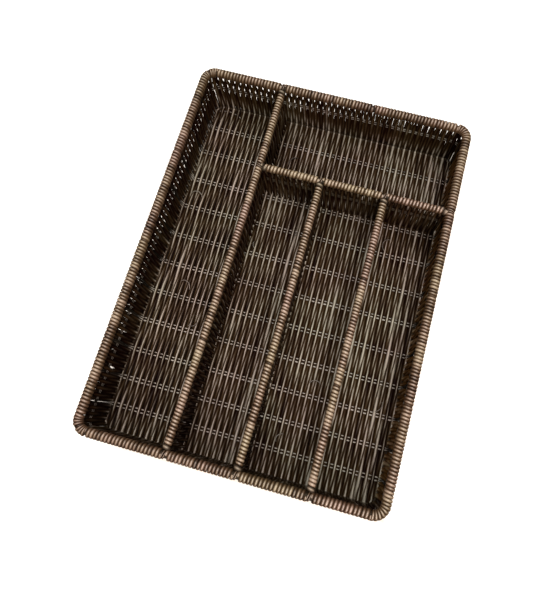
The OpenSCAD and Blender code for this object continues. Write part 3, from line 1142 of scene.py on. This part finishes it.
def build_divider_stakes(name, bar):
    """The upright strands between a divider's bar and the floor."""
    piece = Piece(f"{name}_divider_stakes")
    count = int((bar.length - MAT_T) / DIVIDER_PITCH)
    first = (bar.length - (count - 1) * DIVIDER_PITCH) / 2
    z = np.linspace(RIM_Z - 0.7 * DIVIDER_R, MAT_Z + 0.4, 26)
    for number in range(count):
        at = first + number * DIVIDER_PITCH
        phase = stake_phase(z, number)
        side = wall_swing(z, phase) + smooth_noise(len(z), 4, 0.05)
        side = side + bar.bent(at) * (z - MAT_Z) / (RIM_Z - MAT_Z)
        u = at - 0.3 * np.sin(phase) + smooth_noise(len(z), 4, 0.12)
        path = bar.start * [1, 1, 0] + u[:, None] * bar.along + side[:, None] * bar.across + z[:, None] * UP
        tone = stake_tone(DIVIDER_STAKE_TONE)
        # Wear and a painted highlight on whichever face of the divider the stake is at
        wear_and_painted_light = 0.6 * overness(phase)
        piece.sweep(path, bar.across, DIVIDER_STAKE_W, WALL_STRAND_T, tone, wear_and_painted_light, 0.6 - wear_and_painted_light)
    piece.build(STAKE, "stake_strand", f"{name}_divider_weave")


def build_dividers():
    for name, (bar, gaps, ends) in DIVIDERS.items():
        (near_name, near), (far_name, far_r) = ends
        far = bar.length - far_r
        build_divider_binding(name, bar, gaps, near + LASHING_REACH, far - LASHING_REACH)
        build_lashing(name, bar, near_name, near - LASHING_OVERLAP, near + LASHING_REACH)
        build_lashing(name, bar, far_name, far - LASHING_REACH, far + LASHING_OVERLAP)
        build_divider_stakes(name, bar)


# ---- Camera, lights and floor ----

# Each light's name, place, width, power and colour
LIGHTS = [
    ("softbox", (0.15, 0.15, 1.5), 1.6, 27, (1.0, 0.96, 0.89)),
    ("key", (-0.70, 0.66, 1.1), 0.7, 5, (1.0, 1.0, 1.0)),
    ("fill", (0.35, -1.1, 1.0), 0.8, 18, (1.0, 0.94, 0.88)),
]
WORLD_STRENGTH = 0.2
STUDIO_HALF = 6.0
# How far the tray's painted shadow reaches over the studio floor, in metres, and the floor's colour along
# the way
SHADE_REACH = 0.056
FLOOR_PAINTED_SHADOW_COLOURS = [(0.0, (0.012, 0.009, 0.007)), (0.25, (0.95, 0.87, 0.80)), (1.0, (0.95, 0.95, 0.95))]


def add_camera():
    data = bpy.data.cameras.new("camera")
    data.lens = 30.87
    data.sensor_width = 36
    data.shift_x = -0.060
    data.shift_y = -0.001
    data.clip_start = 0.01
    data.clip_end = 20
    camera = bpy.data.objects.new("camera", data)
    camera.location = (0.05765, -0.12179, 0.48501)
    camera.rotation_euler = [math.radians(angle) for angle in (14.293, 0.620, 15.238)]
    bpy.context.scene.collection.objects.link(camera)
    bpy.context.scene.camera = camera


def add_light(name, place, width, power, colour):
    """A square light that faces the middle of the tray."""
    data = bpy.data.lights.new(name, "AREA")
    data.shape = "SQUARE"
    data.size = width
    data.energy = power
    data.color = colour
    light = bpy.data.objects.new(name, data)
    light.location = place
    light.rotation_mode = "QUATERNION"
    light.rotation_quaternion = (-Vector(place)).to_track_quat("-Z", "Y")
    bpy.context.scene.collection.objects.link(light)


def add_world():
    world = bpy.data.worlds.new("studio")
    world.use_nodes = True
    background = world.node_tree.nodes["Background"]
    background.inputs["Color"].default_value = (1, 1, 1, 1)
    background.inputs["Strength"].default_value = WORLD_STRENGTH
    bpy.context.scene.world = world


def distance_from_tray(tree):
    """How far a point of the floor is beyond the rim's middle, along x or y, whichever is more."""
    place = node_of(tree, "ShaderNodeTexCoord").outputs["Object"]
    apart = node_of(tree, "ShaderNodeSeparateXYZ")
    tree.links.new(place, apart.inputs["Vector"])
    furthest = node_of(tree, "ShaderNodeMath", operation="MAXIMUM")
    for number, (axis, reach) in enumerate((("X", MID_X), ("Y", MID_Y))):
        away = node_of(tree, "ShaderNodeMath", operation="ABSOLUTE")
        tree.links.new(apart.outputs[axis], away.inputs[0])
        beyond = scaled_sum(tree, away.outputs["Value"], 1.0, -reach * MM)
        tree.links.new(beyond, furthest.inputs[number])
    return furthest.outputs["Value"]


def floor_material():
    """Pale, with a little light of its own so that it shows white, and a painted shadow, dark at the tray's
    foot.
    """
    material = bpy.data.materials.new("studio_floor")
    material.use_nodes = True
    tree = material.node_tree
    shader = tree.nodes["Principled BSDF"]
    share = ranged(tree, distance_from_tray(tree), (0.0, SHADE_REACH))
    colour = ramp_of(tree, share, FLOOR_PAINTED_SHADOW_COLOURS)
    tree.links.new(colour, shader.inputs["Base Color"])
    tree.links.new(colour, shader.inputs["Emission Color"])
    shader.inputs["Roughness"].default_value = 0.9
    shader.inputs["Specular IOR Level"].default_value = 0.1
    shader.inputs["Emission Strength"].default_value = 0.3
    return material


def add_floor():
    """The studio floor, which the camera sees but the tray isn't lit by."""
    mesh = bpy.data.meshes.new("studio_floor")
    corners = [(x * STUDIO_HALF, y * STUDIO_HALF, 0) for x, y in ((-1, -1), (1, -1), (1, 1), (-1, 1))]
    mesh.from_pydata(corners, [], [(0, 1, 2, 3)])
    mesh.materials.append(floor_material())
    floor = bpy.data.objects.new("studio_floor", mesh)
    floor.location.z = -0.4 * MM
    floor.visible_diffuse = False
    floor.visible_glossy = False
    bpy.context.scene.collection.objects.link(floor)


def build_stage():
    view = bpy.context.scene.view_settings
    view.view_transform = "Standard"
    view.look = "None"
    view.exposure = 0.0
    add_world()
    for light in LIGHTS:
        add_light(*light)
    add_floor()


def paint_cad_nodes():
    """The rods and bands that stay as CAD nodes get the rattan finish."""
    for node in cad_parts.values():
        if not node.hide_render:
            node.data.materials.clear()
            node.data.materials.append(ROD)


build_walls_and_floor()
build_cross_pairs()
build_bands()
build_rim()
build_corners()
build_dividers()
paint_cad_nodes()
build_stage()
add_camera()
